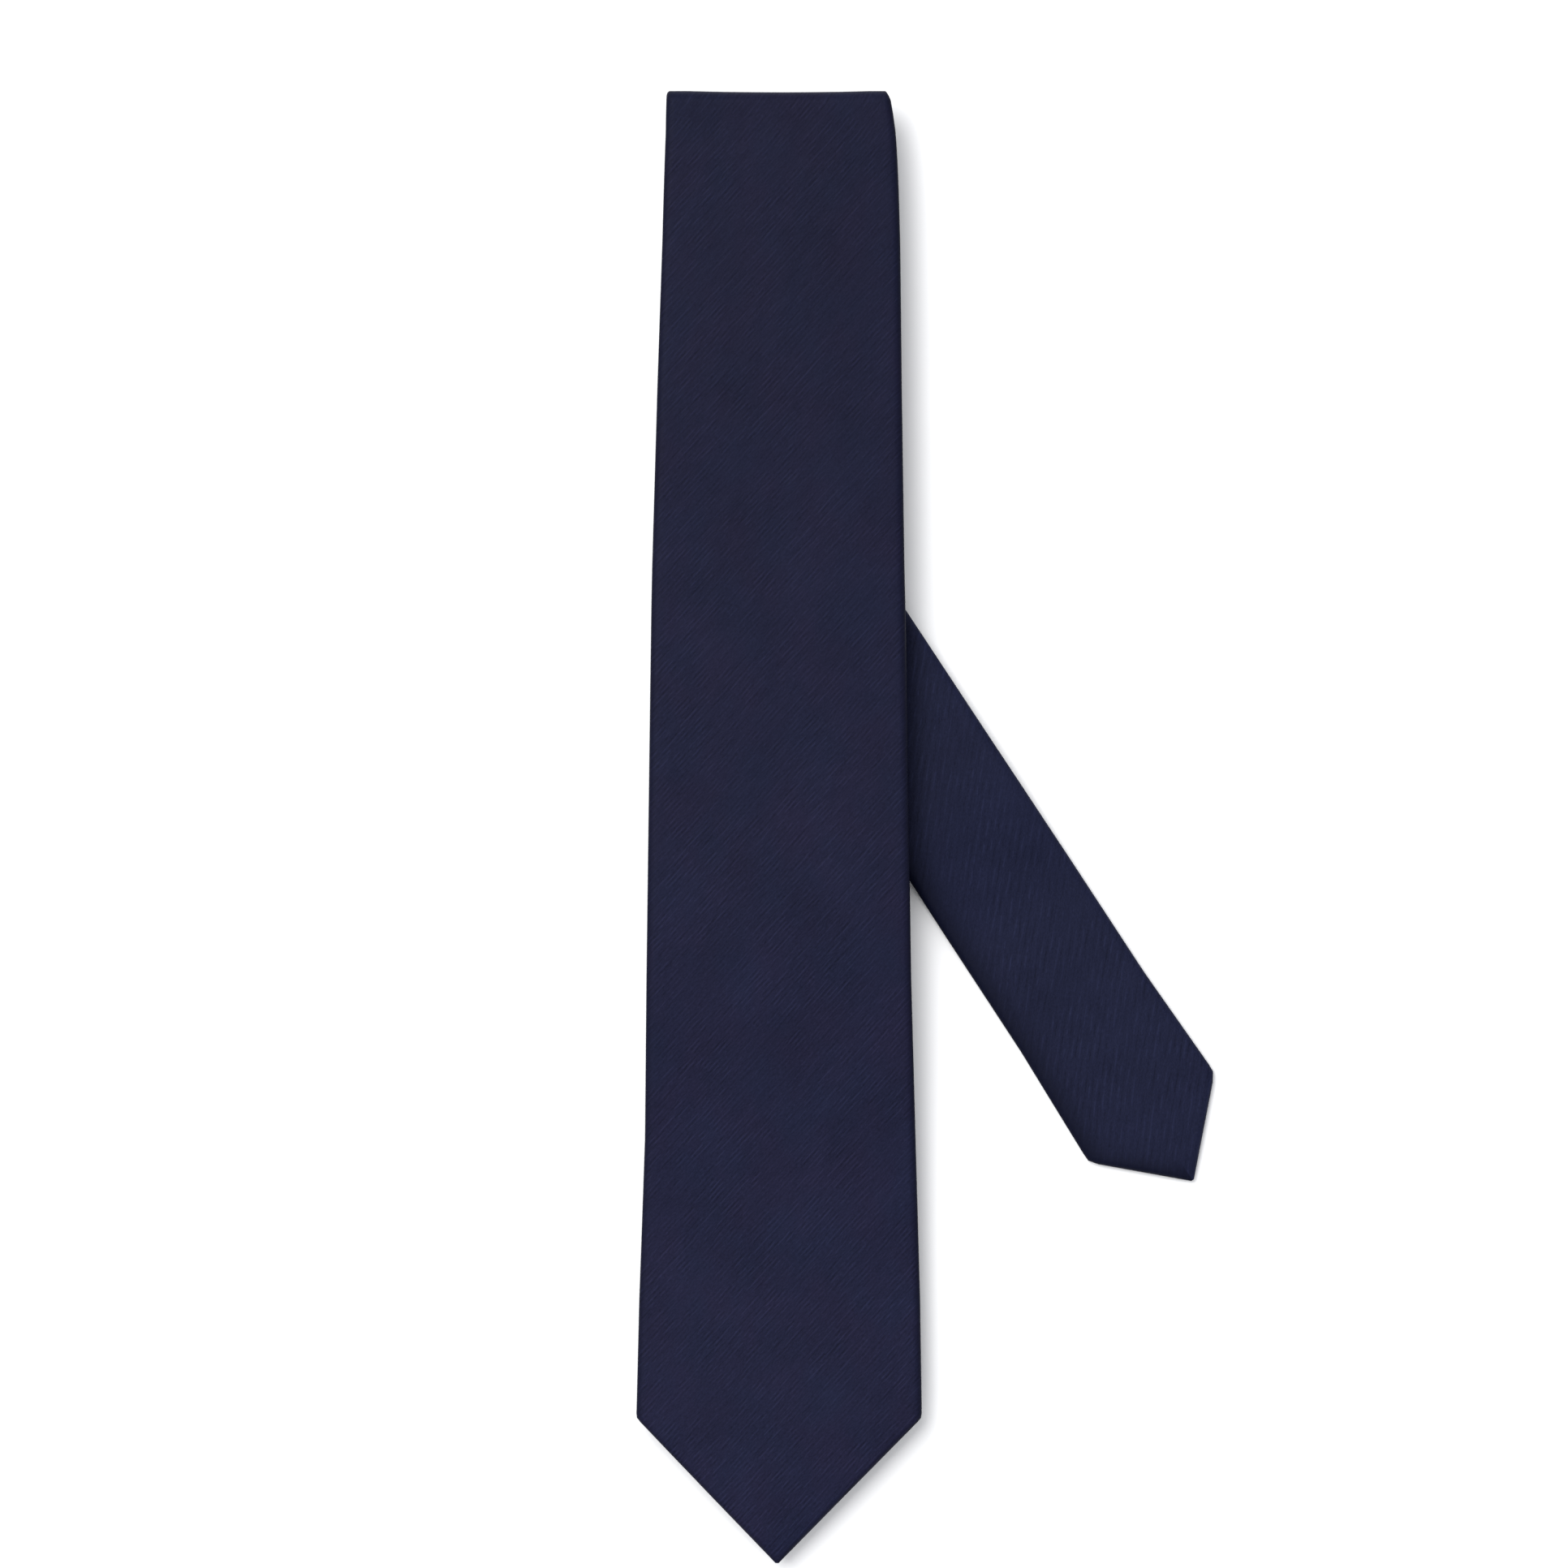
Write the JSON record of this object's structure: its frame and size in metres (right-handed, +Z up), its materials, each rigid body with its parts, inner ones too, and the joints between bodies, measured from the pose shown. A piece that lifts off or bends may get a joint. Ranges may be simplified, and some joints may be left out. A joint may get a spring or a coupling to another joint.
{
  "type": "necktie",
  "caption": "Navy silk necktie laid flat, front blade up, folded behind itself in layers, with its narrow tail turned out at an angle beside the blade.",
  "frame": {"origin": "middle of the folded tie's footprint, on the surface that it lies on", "axes": "+X to the side where the tail shows, +Y from the front blade's tip to the top fold, +Z up out of the front blade's face"},
  "size_m": [0.1632, 0.414, 0.0169],
  "materials": {
    "silk_shell": "navy slubbed silk, satin, fine diagonal ribs",
    "interlining": "napped wool, matte",
    "tipping_lining": "plain navy lining, slight sheen",
    "thread": "twisted sewing thread",
    "label_satin": "plain woven satin, blank"
  },
  "bodies": {
    "under_layer": {"shell_under_layer": "silk_shell", "interlining_under_layer": "interlining", "slip_stitch_under_layer": "thread", "shell_neck_fold": "silk_shell", "interlining_neck_fold": "interlining", "shell_slanting_fold": "silk_shell", "interlining_slanting_fold": "interlining"},
    "third_layer": {"shell_third_layer": "silk_shell", "interlining_third_layer": "interlining", "slip_stitch_third_layer": "thread", "shell_bottom_fold": "silk_shell", "interlining_bottom_fold": "interlining"},
    "second_layer": {"shell_second_layer": "silk_shell", "interlining_second_layer": "interlining", "slip_stitch_second_layer": "thread", "shell_top_fold": "silk_shell", "interlining_top_fold": "interlining"},
    "front_blade": {"shell_front_blade": "silk_shell", "interlining_front_blade": "interlining", "tipping_front_blade": "tipping_lining", "slip_stitch_front_blade": "thread", "bar_tack_front_blade": "thread", "keeper_loop": "silk_shell", "blank_label": "label_satin"},
    "tail": {"shell_tail": "silk_shell", "interlining_tail": "interlining", "tipping_tail": "tipping_lining", "slip_stitch_tail": "thread", "bar_tack_tail": "thread"}
  },
  "joints": [
    {"name": "neck_fold", "type": "hinge", "parent": "under_layer", "child": "third_layer", "pos_m": [-0.04137, 0.19635, 0.00465], "axis": [-1, 0, 0], "range_deg": [0, 179], "deforming": ["shell_neck_fold", "interlining_neck_fold"]},
    {"name": "bottom_fold", "type": "hinge", "parent": "third_layer", "child": "second_layer", "pos_m": [-0.04137, -0.15695, 0.00305], "axis": [1, 0, 0], "range_deg": [0, 179], "deforming": ["shell_bottom_fold", "interlining_bottom_fold"]},
    {"name": "top_fold", "type": "hinge", "parent": "second_layer", "child": "front_blade", "pos_m": [-0.04137, 0.20335, 0.01325], "axis": [-1, 0, 0], "range_deg": [0, 179], "deforming": ["shell_top_fold", "interlining_top_fold"]},
    {"name": "slanting_fold", "type": "hinge", "parent": "under_layer", "child": "tail", "pos_m": [-0.04137, 0.08763, 0.00305], "axis": [0.2857, -0.9583, 0], "range_deg": [0, 179], "deforming": ["shell_slanting_fold", "interlining_slanting_fold"]}
  ],
  "couplings": [
    {"joint": "bottom_fold", "follows": "neck_fold", "ratio": 1},
    {"joint": "slanting_fold", "follows": "neck_fold", "ratio": 1}
  ]
}
